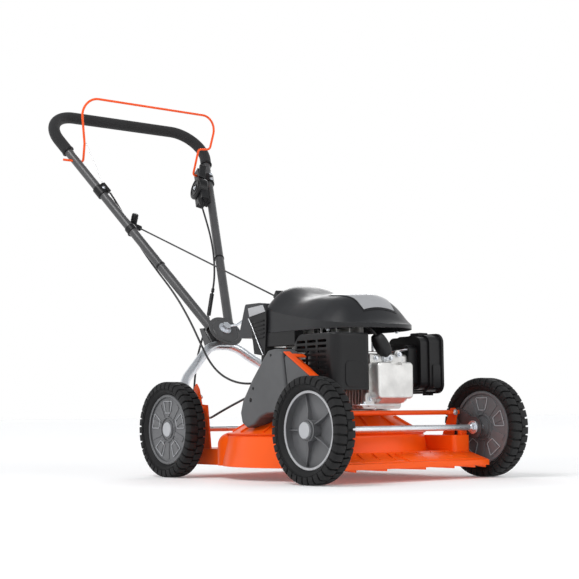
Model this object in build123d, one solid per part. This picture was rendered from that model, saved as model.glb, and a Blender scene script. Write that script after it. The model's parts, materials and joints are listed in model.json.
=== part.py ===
"""Walk-behind petrol mulching mower with a swivelling V handle.

All lengths are millimetres. The model is built with +Z up, the ground at z = 0, the front of the
machine towards -Y, the operator's left towards +X, and y = 0 halfway between the two axles.
Each piece is written with y moved so that the origin is under the middle of the whole machine.
"""
from build123d import *
from math import cos, hypot, pi, radians, sin, tan
import os

# ---- driving dimensions -------------------------------------------------------------------
WHEEL_R = 105.0          # tyre radius over the tread
TYRE_WIDTH = 46.0
RIM_R = 77.0             # where the tyre sits on the hub
LUGS = 36                # tread blocks in each of the two rows
TRACK = 473.8            # between the middles of the left and right wheels
WHEELBASE = 499.6
AXLE_R = 6.25
RUNNING_GAP = 0.06       # radial clearance of a turning fit

DECK_LOW, DECK_TOP = 27.0, 97.0
DECK_WALL = 3.0
DOME_R = 226.0           # blade housing radius at its lower edge
DOME_TOP_R = 212.0
CROWN_LOW_R, CROWN_TOP_R, CROWN_TOP = 207.0, 150.0, 130.0   # the cone the engine stands on
ENGINE_Z = 133.1         # underside of the engine's flange
BLADE_R = 203.0
BLADE_Z = 48.0

ROD_Y, ROD_Z = -205.0, 137.0      # front height-setting rod
REAR_PIN_Y, REAR_PIN_Z = 213.0, 150.0
ARM_X = 202.0            # middle plane of the axle arms
ARM_T = 4.0

HANDLE_TUBE_R = 11.25
HANDLE_WALL = 1.5
HANDLE_ELEVATION = 51.68          # degrees above the ground
PIVOT = Vector(0, 393.2, 334.6)   # middle of the handle's swivel disc
HANDLE_LENGTH = 757.0             # from the disc to the crossbar
HANDLE_SPREAD = 0.313             # sideways run of each tube per unit of length
HANDLE_FOOT_X = 23.2
HANDLE_BEND_R = 78.0
GRIP_R = 15.0
GRIP_START = 617.0
DISC_R = 44.0
DISC_T = 3.0

BAIL_R = 3.0
BAIL_ALONG = 580.0       # where the bail's pivots sit along the tubes
ARCH_R = 11.0
CABLE_R = 2.6
ROPE_R = 2.0

COVER_LOW = 312.0        # lower edge of the engine's top cover
COVER_HALF = 118.0       # half its width
COVER_NOSE_Y, COVER_NOSE = -90.0, 140.0   # where its rounded nose starts, and how far it runs
COVER_TAIL_Y, COVER_TAIL = 46.0, 60.0
COVER_WALL = 3.0
FILLER_X, FILLER_Z = 40.0, 346.0

DIR = Vector(0, cos(radians(HANDLE_ELEVATION)), sin(radians(HANDLE_ELEVATION)))
NORMAL = Vector(0, -sin(radians(HANDLE_ELEVATION)), cos(radians(HANDLE_ELEVATION)))
HANDLE_PLANE = Plane(origin=PIVOT, x_dir=(1, 0, 0), z_dir=NORMAL)

REAR_END = PIVOT.Y + DIR.Y * HANDLE_LENGTH + GRIP_R
FRONT_END = -WHEELBASE / 2 - WHEEL_R
CENTRE_Y = (REAR_END + FRONT_END) / 2
HALF_BASE = WHEELBASE / 2
HALF_TRACK = TRACK / 2


# ---- small helpers ------------------------------------------------------------------------
def block(x0, x1, y0, y1, z0, z1):
    """A box given by its limits."""
    middle = Pos((x0 + x1) / 2, (y0 + y1) / 2, (z0 + z1) / 2)
    return middle * Box(x1 - x0, y1 - y0, z1 - z0)


def soft_block(limits, radius, axis=Axis.Z):
    """A box with the edges along one axis rounded."""
    body = block(*limits)
    return fillet(body.edges().filter_by(axis), radius)


def rod(start, end, radius, bore=0.0):
    """A straight round bar, or a tube when it has a bore."""
    start, end = Vector(start), Vector(end)
    length = (end - start).length
    plane = Plane(origin=start, z_dir=end - start)
    base = (Align.CENTER, Align.CENTER, Align.MIN)
    body = plane * Cylinder(radius, length, align=base)
    if bore:
        body -= plane * Cylinder(bore, length, align=base)
    return body


def swept(points, radii, radius):
    """A round bar along straight runs joined by tangent arcs."""
    path = FilletPolyline(*points, radius=radii)
    section = Plane(origin=path @ 0, z_dir=path % 0) * Circle(radius)
    return sweep(section, path=path)


def corner_radii(points):
    """The largest arcs that each pair of runs allows, with a little straight left."""
    radii = []
    for before, corner, after in zip(points, points[1:], points[2:]):
        a, b = Vector(corner) - Vector(before), Vector(after) - Vector(corner)
        turn = radians(a.get_angle(b))
        radii.append(0.45 * min(a.length, b.length) / tan(turn / 2))
    return radii


def cable(name, points, radius):
    """A cable along its route, with its bend radii printed and its volume compared."""
    radii = corner_radii(points)
    body = swept(points, radii, radius)
    length = FilletPolyline(*points, radius=radii).length
    print(name, "length", round(length), "smallest radius", round(min(radii)),
          "volume ratio", round(body.volume / (pi * radius ** 2 * length), 4))
    return body


def side_prism(outline, x0, x1, corner=0.0):
    """A closed outline of (y, z) points, stretched from x0 to x1."""
    face = make_face(Plane.YZ * Polyline(*outline, close=True))
    if corner:
        face = fillet(face.vertices(), corner)
    return Pos(x0, 0, 0) * extrude(face, x1 - x0, dir=(1, 0, 0))


def on_handle(x, along, out=0.0):
    """A point of the handle's plane: sideways, along the tubes, and out of the plane."""
    return PIVOT + Vector(x, 0, 0) + DIR * along + NORMAL * out


def tube_x(along):
    """How far each handle tube is from the middle at this distance from the disc."""
    return HANDLE_FOOT_X + HANDLE_SPREAD * along


def tube_frame(side, along):
    """A plane on a handle tube: z along the tube, y out of the handle's plane."""
    run = (Vector(side * HANDLE_SPREAD, 0, 0) + DIR).normalized()
    sideways = NORMAL.cross(run)
    return Plane(origin=on_handle(side * tube_x(along), along), x_dir=sideways, z_dir=run)


def at_tube(side, along, inward, out=0.0, further=0.0):
    """A place beside a handle tube: towards the middle, out of the plane, further along."""
    return tube_frame(side, along) * Pos(side * inward, out, further)


def mirrored(shape):
    """The shape and its mirror image on the other side of the machine."""
    return shape + mirror(shape, Plane.YZ)


# ---- wheels -------------------------------------------------------------------------------
def make_tyre():
    """Tyre about the z axis: a round-shouldered ring with two staggered rows of blocks."""
    half = TYRE_WIDTH / 2
    tread_base = WHEEL_R - 4.5
    wall = [(RIM_R + 0.1, -11), (84, -half + 3), (92, -half + 1), (tread_base, -half + 3.5),
            (tread_base, half - 3.5), (92, half - 1), (84, half - 3), (RIM_R + 0.1, 11)]
    face = make_face(Plane.XZ * Polyline(*wall, close=True))
    ring = revolve(face, Axis.Z)
    pitch = 360 / LUGS
    length = radians(pitch) * WHEEL_R * 0.7
    depth = 14.0
    lugs = []
    for row in (-1, 1):
        for i in range(LUGS):
            angle = i * pitch + (row + 1) * pitch / 4
            middle = Pos(WHEEL_R - depth / 2, 0, row * half / 2)
            lugs.append(Rot(0, 0, angle) * middle * Box(depth, length, half - 0.6))
    shoulder = 9.0
    envelope = Cylinder(WHEEL_R + 0.6, TYRE_WIDTH)
    envelope = fillet(envelope.edges().filter_by(GeomType.CIRCLE), shoulder)
    envelope -= Cylinder(RIM_R + 12, TYRE_WIDTH)
    treads = Part() + lugs
    return ring + (treads & envelope)


def make_hub():
    """Hub about the z axis: one closed face, and a dish with five ribs on the +z side."""
    barrel = Cylinder(RIM_R, 22) - Cylinder(RIM_R - 3.5, 22)
    barrel = Pos(0, 0, -1) * barrel
    lip = Pos(0, 0, 9) * (Cylinder(RIM_R, 2) - Cylinder(RIM_R - 5, 2))
    disc = Pos(0, 0, -7.5) * Cylinder(RIM_R - 2, 3)
    boss = Pos(0, 0, 1) * Cylinder(20, 26)
    collar = Pos(0, 0, 15.5) * Cylinder(18.5, 5)
    hub = barrel + lip + disc + boss + collar
    rib_side = Polyline((18, -7), (18, 9), (40, 2), (RIM_R - 2, -1), (RIM_R - 2, -7), close=True)
    rib = extrude(make_face(Plane.XZ * rib_side), 1.4, both=True)
    panel = Polyline((27, 4), (62, 11), (62, 24), (27, 14), close=True)
    relief = extrude(fillet(make_face(panel).vertices(), 2), 1.6)
    for i in range(5):
        turn = Rot(0, 0, 72 * i + 18)
        hub += turn * rib
        hub += turn * Pos(0, 0, -10.4) * relief
        hub += turn * Pos(0, 0, -10.4) * mirror(relief, Plane.XZ)
    return hub - Cylinder(AXLE_R + RUNNING_GAP, 60)


def make_cap(face, base):
    """Hub cap about the z axis, from its seat to its slightly domed face."""
    cap = Pos(0, 0, (face + base) / 2) * Cylinder(16, face - base)
    return fillet(cap.edges().sort_by(Axis.Z)[-1], 1.2)


def place_wheel(shape, left, front):
    """Turn a wheel piece to its side: the dish faces out in front and in at the rear."""
    x = HALF_TRACK if left else -HALF_TRACK
    y = -HALF_BASE if front else HALF_BASE
    faces_plus_x = left == front
    return Pos(x, y, WHEEL_R) * Rot(0, 90 if faces_plus_x else -90, 0) * shape


def make_wheels():
    """Three pieces for each of the four wheels."""
    tyre, hub = make_tyre(), make_hub()
    nodes = {}
    for front in (True, False):
        for left in (True, False):
            name = ("front" if front else "rear") + ("_left" if left else "_right")
            nodes["tyre_" + name] = place_wheel(tyre, left, front)
            nodes["hub_" + name] = place_wheel(hub, left, front)
            cap = make_cap(22, 18.1) if front else Rot(180, 0, 0) * make_cap(14, 12.1)
            nodes["hub_cap_" + name] = place_wheel(cap, left, front)
    return nodes


def arm_plate(pin_y, pin_z, axle_y):
    """An axle arm: a lobe on the axle, a small eye on the pin and a notch between them."""
    lobe_r, eye_r = 23.0, 10.0
    outline = Pos(axle_y, WHEEL_R) * Circle(lobe_r) + Pos(pin_y, pin_z) * Circle(eye_r)
    outline = make_face(make_hull(outline.edges()))
    inward = 1 if pin_y > axle_y else -1
    middle_y, middle_z = (pin_y + axle_y) / 2, (pin_z + WHEEL_R) / 2
    outline -= Pos(middle_y - inward * 24, middle_z + 22) * Circle(16)
    outline -= Pos(pin_y, pin_z) * Circle(5 + RUNNING_GAP)
    outline -= Pos(axle_y, WHEEL_R) * Circle(AXLE_R)
    return Pos(ARM_X - ARM_T / 2, 0, 0) * extrude(Plane.YZ * outline, ARM_T)


def make_axle(axle_y, half_length):
    """A bar across the machine with a washer and a hexagon collar inside each arm."""
    bar = rod((-half_length, axle_y, WHEEL_R), (half_length, axle_y, WHEEL_R), AXLE_R)
    inner = ARM_X - ARM_T / 2
    washer = rod((inner - 2.5, axle_y, WHEEL_R), (inner - 0.05, axle_y, WHEEL_R), 14)
    collar = Pos(inner - 11, axle_y, WHEEL_R) * Rot(0, 90, 0) * extrude(RegularPolygon(10, 6), 8.4)
    outer = ARM_X + ARM_T / 2
    spacer = rod((outer + 0.05, axle_y, WHEEL_R), (half_length - 41.5, axle_y, WHEEL_R), 11)
    return bar + mirrored(washer + collar + spacer)


def make_running_gear():
    """Front rod, axles and arms."""
    flat = soft_block((ARM_X - 36, ARM_X - 3, ROD_Y - 7, ROD_Y + 7, ROD_Z - 3, ROD_Z + 3), 3)
    bar = rod((-ARM_X + 30, ROD_Y, ROD_Z), (ARM_X - 30, ROD_Y, ROD_Z), 5)
    pin = rod((ARM_X - 6, ROD_Y, ROD_Z), (ARM_X + 5, ROD_Y, ROD_Z), 5)
    axle_half = HALF_TRACK + 17.5
    return {
        "front_rod": bar + mirrored(flat + pin),
        "front_arms": mirrored(arm_plate(ROD_Y, ROD_Z, -HALF_BASE)),
        "front_axle": make_axle(-HALF_BASE, axle_half),
        "rear_arms": mirrored(arm_plate(REAR_PIN_Y, REAR_PIN_Z, HALF_BASE)),
        "rear_axle": make_axle(HALF_BASE, HALF_TRACK + 11.5),
    }


# ---- deck ---------------------------------------------------------------------------------
def frustum(low_r, top_r, z0, z1):
    """A round tapered block about the crankshaft's axis."""
    base = (Align.CENTER, Align.CENTER, Align.MIN)
    return Pos(0, 0, z0) * Cone(low_r, top_r, z1 - z0, align=base)


def deck_shape(inset, low, top):
    """The deck's outer form, or its inside when inset is the wall thickness."""
    taper_loss = (DOME_R - DOME_TOP_R) * inset / (DECK_TOP - DECK_LOW)
    dome = frustum(DOME_R - inset, DOME_TOP_R - inset + taper_loss, low, top)
    crown = dome.edges().sort_by(Axis.Z)[-1]
    dome = fillet(crown, 12 - inset)
    crown = frustum(CROWN_LOW_R - inset, CROWN_TOP_R - inset, top - 1, CROWN_TOP - inset)
    rear = soft_block((-192 + inset, 192 - inset, 0, 168 - inset, low, top), 46 - inset)
    rear = fillet(rear.edges().group_by(Axis.Z)[-1], 26 - inset)
    rear += soft_block((-178 + inset, 178 - inset, 100, 300 - inset, low, 62 - inset),
                       20 - inset)
    apron = [(-292 + inset, low), (-292 + inset, 38 - inset), (-226, 57 - inset),
             (-60, 57 - inset), (-60, low)]
    apron = side_prism(apron, -202 + inset, 202 - inset)
    corner = soft_block((148 + inset, 198 - inset, -243 + inset, -120 - inset, low, 89 - inset),
                        9 - inset)
    return dome + crown + rear + apron + mirrored(corner)


def engine_bolt_spots():
    """Where the four bolts go through the engine's flange and the deck."""
    angles = [radians(35 + 90 * i) for i in range(4)]
    return [(128 * cos(a), 128 * sin(a)) for a in angles]


def crown_room():
    """The space the deck's cone takes up, with a little clearance."""
    return frustum(CROWN_LOW_R + 0.4, CROWN_TOP_R + 0.4, DECK_TOP - 1, CROWN_TOP + 0.2)


def make_deck():
    """One moulded shell, open underneath, with a raised ring for the engine."""
    shell = deck_shape(0, DECK_LOW, DECK_TOP) - deck_shape(DECK_WALL, DECK_LOW - 1,
                                                           DECK_TOP - DECK_WALL)
    seat = frustum(149, 146, CROWN_TOP - 1, ENGINE_Z - 0.1)
    post = soft_block((177, 197, -235, -224, 80, 98), 3)
    shell += seat + mirrored(post)
    for x, y in engine_bolt_spots():
        shell -= Pos(x, y, CROWN_TOP) * Cylinder(4.2, 20)
    return shell - Cylinder(24, 300)


def make_comb():
    """The row of overlapping slanted teeth under the front lip."""
    low, drop, height, gap = 22.5, 5.0, 11.0, 1.0
    edges = (-196, -160, -80, 25, 105, 165, 196)
    comb = block(-195, 195, -288.5, -275, low + height - 0.5, low + height + 1)
    for left, right in zip(edges, edges[1:]):
        tooth = [(left + gap, drop), (right - gap, 0), (right - gap, height),
                 (left + gap, height)]
        face = make_face(Plane.XZ * Polyline(*tooth, close=True))
        comb += Pos(0, -275, low) * extrude(face, 13.5)
    return comb


def make_brackets():
    """Tabs that hold the front rod, the latch bracket on it, and the rear fins with their pins."""
    tab = side_prism([(-200, 89.1), (-168, 89.1), (-194, 146), (-206, 146), (-213, 138)], 188, 192)
    tab -= block(150, 199.2, ROD_Y - 7.2, ROD_Y + 7.2, ROD_Z - 3.2, ROD_Z + 3.2)
    latch = side_prism([(-214, 129), (-214, 152), (-196, 152), (-182, 97.1), (-160, 97.1),
                        (-190, 129)], -84, -50)
    latch -= side_prism([(-211, 90), (-211, 149), (-199, 149), (-185, 90)], -81, -53)
    latch -= rod((-200, ROD_Y, ROD_Z), (0, ROD_Y, ROD_Z), 5.02)
    fin = side_prism([(190, 62.1), (298, 62.1), (290, 150), (262, 166),
                      (254, 196), (246, 206), (236, 194), (226, 160), (203, 158)], 171, 175)
    fin -= block(165, 180, HALF_BASE - 20, HALF_BASE + 24, 58, 134)
    pin = rod((171, REAR_PIN_Y, REAR_PIN_Z), (ARM_X + 4, REAR_PIN_Y, REAR_PIN_Z), 5)
    return mirrored(tab + fin + pin) + (latch - crown_room())


# ---- drive cover beside the engine --------------------------------------------------------
def make_drive_cover():
    """A drop-shaped plastic cover, its front panel, the plate behind and the gear case."""
    drop = [(-113, 262), (-92, 270), (-64, 267), (-10, 210), (24, 166), (33, 140), (27, 118),
            (8, 108), (-16, 115), (-36, 130), (-60, 138), (-133, 140)]
    panel = [(-114.8, 261), (-208, 206), (-222, 186), (-216, 168), (-129.8, 168)]
    x0, x1, wall = -206, -162, 2.5
    outer = side_prism(drop, x0, x1, 9)
    outer = fillet(outer.faces().sort_by(Axis.X)[0].edges(), 5)
    inner = offset(make_face(Plane.YZ * Polyline(*drop, close=True)), -wall)
    cover = outer - Pos(x0 + wall, 0, 0) * extrude(inner, 60, dir=(1, 0, 0))
    for y, z, r in ((-76, 257, 3.0), (-14, 190, 3.5), (-5, 166, 4.5)):
        cover -= rod((x0 - 1, y, z), (x0 + wall + 1, y, z), r)
    front = side_prism(panel, x0 + 3, x0 + 13, 6)
    front = fillet(front.faces().sort_by(Axis.X)[0].edges(), 4)
    inner = offset(make_face(Plane.YZ * Polyline(*panel, close=True)), -wall)
    front -= Pos(x0 + 3 + wall, 0, 0) * extrude(inner, 60, dir=(1, 0, 0))
    plate = [(-64, 272), (-78, 270), (-172, 214), (-196, 176), (-140, 170), (-140, 99.2),
             (28, 99.2), (36, 140), (28, 166), (-20, 222)]
    guard = side_prism(plate, -161.5, -158.5, 5)
    rim = [(-115, 261.4), (-116, 263.4), (-210, 208), (-208.5, 206.2)]
    guard += side_prism(rim, x0 + 3, x0 + 19)
    foot_y = -123
    foot_z = 261.4 + (foot_y + 115) * 0.59
    guard += side_prism([(foot_y, foot_z), (foot_y - 1, foot_z + 2), (foot_y - 11, foot_z - 4),
                         (foot_y - 10, foot_z - 6)], x0 + 18, -158.5)
    case = rod((-161.6, -50, 178), (-196, -50, 178), 34)
    cover, guard = cover - crown_room(), guard - crown_room()
    return {"drive_cover": cover, "drive_cover_front": front, "drive_side_plate": guard,
            "gear_case": case}


# ---- engine -------------------------------------------------------------------------------
def make_crankcase():
    """The engine's base, block and shaft housing, with the bolt holes of its flange."""
    flange = Pos(0, 0, ENGINE_Z + 6) * Cylinder(142, 12)
    flange = fillet(flange.edges().filter_by(GeomType.CIRCLE), 3)
    drum = Pos(0, 0, 180) * Cylinder(88, 70)
    neck = block(-50, 50, -120, -40, 140, 262)
    shaft_house = Pos(0, 0, 250) * Cylinder(42, 70)
    tank_foot = block(-34, 34, 60, 150, 200, 282) + block(-34, 34, 96, 150, 280, 307.8)
    body = flange + drum + neck + shaft_house + tank_foot
    for x, y in engine_bolt_spots():
        body -= Pos(x, y, ENGINE_Z + 6) * Cylinder(4.2, 30)
    return body - Cylinder(12 + RUNNING_GAP, 800)


def make_cylinder():
    """The finned cylinder and head that point to the front."""
    start, run = plug_line()
    core = block(-38, 38, -188, -120.1, 150, 252)
    fins = Part()
    for i in range(7):
        y = -184 + i * 9.4
        fins += soft_block((-54, 54, y, y + 3, ENGINE_Z + 12.4, 260), 8, Axis.Y)
    ear = Pos(33, -196, 258) * Rot(90, 0, 0) * Cylinder(9, 7)
    plate = block(-44, 44, -199.5, -188, 240, 257)
    bores = Pos(33, -196, 258) * Rot(90, 0, 0) * Cylinder(3.4, 20)
    bores += rod(start - run * 3, start + run * 40, 8.1)
    return core + fins + plate + ear - bores


def make_rocker_cover():
    """Cast cover on the cylinder head, with a flange and a notch in its top edge."""
    cover = soft_block((-48, 48, -231, -199.7, 166, 241), 9, Axis.Y)
    cover = fillet(cover.faces().sort_by(Axis.Y)[0].edges(), 5)
    flange = soft_block((-53, 53, -204.5, -199.6, 160, 239), 8, Axis.Y)
    foot = soft_block((-62, -38, -204.5, -199.6, 154, 178), 6, Axis.Y)
    sump = side_prism([(-224, 167), (-199.7, 167), (-199.7, 156), (-214, 158)], -34, 34)
    notch = block(-12, 16, -240, -218, 235, 250)
    return cover + flange + foot + sump - notch


def plug_line():
    """Where the spark plug starts, and its direction."""
    start = Vector(-2, -200, 246)
    return start, (Vector(-20, -218, 296) - start).normalized()


def make_spark_plug():
    """The plug's hexagon and insulator, and its rubber cap with an elbow."""
    start, run = plug_line()
    plug = rod(start, start + run * 14, 8)
    plug += rod(start + run * 14, start + run * 24, 5)
    end = start + run * 54
    cap = rod(start + run * 15, end, 11.5) - rod(start + run * 13, start + run * 26, 5.3)
    tail = rod(end - run * 6, end + Vector(4, 30, -2), 8)
    return plug, cap + tail


def make_muffler():
    """The silencer can behind its guard, with the pipe to the head."""
    can = soft_block((-132, -62, -186, -98, 186, 272), 18) - block(-129, -65, -180, -104, 189, 269)
    return can + rod((-62.5, -150, 205), (-54.2, -150, 205), 12)


def make_muffler_guard():
    """A rounded black guard, open towards the engine, with rows of cooling slots."""
    x0, x1, y0, y1, z0, z1, wall = -150, -51, -216, -72, 184, 300, 2.5
    back = side_prism([(y1 - 34, z1 + 5), (y1 + 30, z1 + 5), (y1 + 30, z1 - 62)], x0 - 5, x1 + 30)
    body = soft_block((x0, x1, y0, y1, z0, z1), 18) - back
    body = fillet(body.faces().sort_by(Axis.Z)[-1].edges(), 6)
    hollow = soft_block((x0 + wall, x1 + 20, y0 + wall, y1 + 20, z0 - 5, z1 - wall), 15)
    body -= hollow - Pos(0, -wall, -wall) * back
    slots = []
    for row in range(8):
        for column in range(3):
            y, z = -188 + column * 34, 204 + row * 11
            slots.append(block(x0 - 2, x0 + 6, y, y + 28, z, z + 5.5))
    relief = soft_block((-124, -72, y0 - 1.4, y0 + 0.5, 190, 242), 12, Axis.Y)
    return body + relief - slots


def make_air_cleaner():
    """A case, a lipped cover with its latch and clips, and the carburettor behind."""
    case = soft_block((128, 150, -168, -66, 186, 300), 16, Axis.X)
    case += soft_block((104, 128, -156, -80, 192, 282), 12, Axis.X)
    cover = soft_block((150.3, 193, -172, -62, 182, 304), 18, Axis.X)
    cover = fillet(cover.faces().sort_by(Axis.X)[-1].edges(), 6)
    lip = soft_block((183, 189, -176, -58, 178, 308), 20, Axis.X)
    panel = soft_block((158, 180, -174.5, -171, 190, 240), 5, Axis.Y)
    latch = soft_block((158, 186, -130, -104, 303, 311), 3, Axis.Y)
    clips = block(162, 170, -146, -136, 174, 184) + block(176, 184, -146, -136, 174, 184)
    carb = soft_block((62, 103.8, -150, -96, 205, 262), 8, Axis.X)
    carb += rod((54.2, -123, 232), (62.5, -123, 232), 14)
    carb += rod((84, -123, 196), (84, -123, 206), 18)
    return {"air_cleaner_case": case, "air_cleaner_cover": cover + lip + panel + latch + clips,
            "carburettor": carb}


def cover_outline(inset):
    """The top cover from above: a long rounded nose, straight sides and a blunt tail."""
    half = COVER_HALF - inset
    middle = (COVER_NOSE_Y + COVER_TAIL_Y) / 2
    straight = Pos(0, middle) * Rectangle(2 * half, COVER_TAIL_Y - COVER_NOSE_Y)
    nose = Pos(0, COVER_NOSE_Y) * Ellipse(half, COVER_NOSE - inset)
    tail = Pos(0, COVER_TAIL_Y) * Ellipse(half, COVER_TAIL - inset)
    return straight + nose + tail


def blended(pairs, y):
    """A value read off smooth steps between (y, value) pairs."""
    if y <= pairs[0][0]:
        return pairs[0][1]
    for (y0, v0), (y1, v1) in zip(pairs, pairs[1:]):
        if y <= y1:
            t = (y - y0) / (y1 - y0)
            return v0 + (v1 - v0) * t * t * (3 - 2 * t)
    return pairs[-1][1]


def cover_height(x, y):
    """How high the cover's domed top is; its crease falls from the tail to the nose."""
    crease = 320 + 40 * max((y + 232) / 278, 0) ** 1.6
    rise = blended(((-232, 4), (-150, 64), (-80, 58), (-10, 44), (58, 57), (110, 36)), y)
    beyond = max((COVER_NOSE_Y - y) / COVER_NOSE, (y - COVER_TAIL_Y) / COVER_TAIL, 0)
    reach = min(hypot(x / COVER_HALF, beyond), 1.25)
    return crease + rise * (1 - reach ** 3)


def top_cover_form(inset):
    """The cover as a solid block: its outline pushed up and cut by the domed top."""
    columns, rows, margin = 12, 22, 8.0
    low, high = COVER_NOSE_Y - COVER_NOSE - margin, COVER_TAIL_Y + COVER_TAIL + margin
    wide = COVER_HALF + margin
    grid = []
    for i in range(columns + 1):
        x = -wide + 2 * wide * i / columns
        ys = [low + (high - low) * j / rows for j in range(rows + 1)]
        grid.append([Vector(x, y, cover_height(x, y) - inset) for y in ys])
    top = Face.make_surface_from_array_of_points(grid, tol=0.3)
    below = extrude(top, 200, dir=(0, 0, -1))
    walls = extrude(Pos(0, 0, COVER_LOW - inset) * cover_outline(inset), 140, dir=(0, 0, 1))
    return walls & below


def make_top_cover():
    """A thin shell over the flywheel, open underneath."""
    return top_cover_form(0) - top_cover_form(COVER_WALL)


def make_engine():
    """All engine pieces that stay still."""
    plug, cap = make_spark_plug()
    pillar = side_prism([(50, 374), (112, 369), (108, 350), (93, 268), (54, 262), (48, 340)],
                        -124, -100)
    pillar += soft_block((-106, -40, 62, 95, 215.2, 282), 6)
    pillar += block(-120, -96, -46, 56, 282, COVER_LOW - 0.6)
    pillar -= extrude(Pos(0, 0, COVER_LOW - 0.5) * cover_outline(-0.5), 90, dir=(0, 0, 1))
    tank = side_prism([(118, 308), (202, 308), (202, 318), (178, 384), (118, 384)], -86, 92)
    tank = fillet(tank.edges().filter_by(Axis.X), 6)
    filler = rod((FILLER_X, 206, FILLER_Z), (FILLER_X, 180, FILLER_Z), 19)
    bolts = Part()
    for x, y in engine_bolt_spots():
        bolts += Pos(x, y, ENGINE_Z + 6) * Cylinder(4, 28)
        bolts += Pos(x, y, ENGINE_Z + 12.1) * extrude(RegularPolygon(7.5, 6), 6)
    exit_block = Pos(-40, 107, 398) * Rot(0, 0, -8) * Rot(40, 0, 0) * Box(22, 26, 20)
    exit_block = fillet(exit_block.edges(), 3)
    run = rope_run()
    slot = rod(run[0] - rope_dir() * 34, run[1], ROPE_R + 0.6)
    exit_block -= slot
    nodes = {"crankcase": make_crankcase(), "cylinder": make_cylinder(),
             "rocker_cover": make_rocker_cover(), "spark_plug": plug, "spark_plug_cap": cap,
             "muffler": make_muffler(), "muffler_guard": make_muffler_guard(),
             "top_cover": make_top_cover() - exit_block - slot, "brake_housing": pillar,
             "fuel_tank": tank + filler, "engine_bolts": bolts, "rope_exit": exit_block}
    nodes.update(make_air_cleaner())
    return nodes


def make_fuel_cap():
    """Screw cap on the tank's filler, with a ribbed rim."""
    cap = rod((FILLER_X, 220, FILLER_Z), (FILLER_X, 206.2, FILLER_Z), 25)
    cap = fillet(cap.edges().sort_by(Axis.Y)[-1], 3)
    for i in range(20):
        a = radians(18 * i)
        x, z = FILLER_X + 25.4 * cos(a), FILLER_Z + 25.4 * sin(a)
        cap -= rod((x, 217, z), (x, 206, z), 1.6)
    return cap


def make_crank():
    """Crankshaft, flywheel with cooling vanes, blade holder and blade."""
    shaft = Pos(0, 0, 178) * Cylinder(12, 252)
    wheel = Pos(0, 0, 296) * Cylinder(88, 14)
    for i in range(16):
        vane = Pos(68, 0, 313) * Box(34, 2.4, 22)
        wheel += Rot(0, 0, 22.5 * i) * vane
    wheel -= Cylinder(12.02, 800)
    holder = Pos(0, 0, 63) * Cylinder(30, 16) + Pos(0, 0, 54.6) * Box(110, 44, 5)
    holder -= Pos(0, 0, 60) * Cylinder(12.02, 30)
    bar = Box(2 * BLADE_R, 52, 4)
    edge = Pos(BLADE_R - 45, 27, -2) * Rot(35, 0, 0) * Box(90, 12, 6)
    wing = Pos(BLADE_R - 40, -24, 5) * Rot(-40, 0, 0) * Box(80, 4, 16)
    tips = wing + Rot(0, 0, 180) * wing
    blade = (bar - edge - Rot(0, 0, 180) * edge) + tips
    blade = Pos(0, 0, BLADE_Z + 2) * (blade - Cylinder(6.02, 30))
    bolt = Pos(0, 0, 46) * Cylinder(6, 12) + Pos(0, 0, 40) * extrude(RegularPolygon(11, 6), 7.9)
    return {"crankshaft": shaft, "flywheel": wheel, "blade_holder": holder, "blade": blade,
            "blade_bolt": bolt}


# ---- handle -------------------------------------------------------------------------------
def arch_tube(radius):
    """The arch's centre line as a bar of this radius."""
    points = [(-190, 268, 157), (-188, 272, 180), (-160, 316, 214), (-78, 372, 268),
              (-34, 392, 303), (34, 392, 303), (78, 372, 268), (160, 316, 214),
              (188, 272, 180), (190, 268, 157)]
    return swept(points, [0.96 * r for r in corner_radii(points)], radius)


def make_arch():
    """The bent tube that carries the handle, with a foot plate on each end."""
    foot = soft_block((175.2, 200.5, 256, 280, 150, 157), 6)
    return arch_tube(ARCH_R) - arch_tube(ARCH_R - 1.6) + mirrored(foot)


def make_arch_bracket():
    """A folded plate on the arch with the flat face that the swivel disc turns on."""
    face = HANDLE_PLANE * Pos(0, 2, -HANDLE_TUBE_R - 4.4) * extrude(
        fillet(Rectangle(64, 76).vertices(), 14), 3.8)
    outline = [(388, 288), (420, 300), (444, 346), (428, 346), (402, 316), (384, 300)]
    cheek = side_prism(outline, 29, 32)
    hole = HANDLE_PLANE * Cylinder(6 + RUNNING_GAP, 80)
    return (face + mirrored(cheek)) - hole - arch_tube(ARCH_R + 0.05)


def handle_path(start, end):
    """Corner points of the handle's tube, from one end on each side."""
    corner_x = tube_x(HANDLE_LENGTH)
    return [on_handle(-tube_x(start), start), on_handle(-corner_x, HANDLE_LENGTH),
            on_handle(corner_x, HANDLE_LENGTH), on_handle(tube_x(end), end)]


def make_handle_frame():
    """One bent tube, flattened ends left straight, open at both feet."""
    points = handle_path(16, 16)
    bends = [HANDLE_BEND_R] * 2
    frame = swept(points, bends, HANDLE_TUBE_R) - swept(points, bends, HANDLE_TUBE_R - HANDLE_WALL)
    return frame - rod(on_handle(-260, BAIL_ALONG), on_handle(260, BAIL_ALONG), BAIL_R + 0.3)


def make_foam_grip():
    """A soft sleeve round both corners and the crossbar."""
    points = handle_path(GRIP_START, GRIP_START + 15)
    bends = [HANDLE_BEND_R] * 2
    return swept(points, bends, GRIP_R) - swept(points, bends, HANDLE_TUBE_R + 0.05)


def make_swivel_disc():
    """The round plate in front of the tubes' feet, with a pressed dish round the bolt."""
    disc = HANDLE_PLANE * Pos(0, -7, HANDLE_TUBE_R + 0.1 + DISC_T / 2) * Cylinder(DISC_R, DISC_T)
    back = HANDLE_PLANE * Pos(0, 0, -HANDLE_TUBE_R - 0.2) * Cylinder(15, 0.6)
    sleeve = HANDLE_PLANE * Cylinder(10, 2 * HANDLE_TUBE_R + 0.3)
    return disc + back + sleeve - HANDLE_PLANE * Cylinder(6 + RUNNING_GAP, 90)


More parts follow.
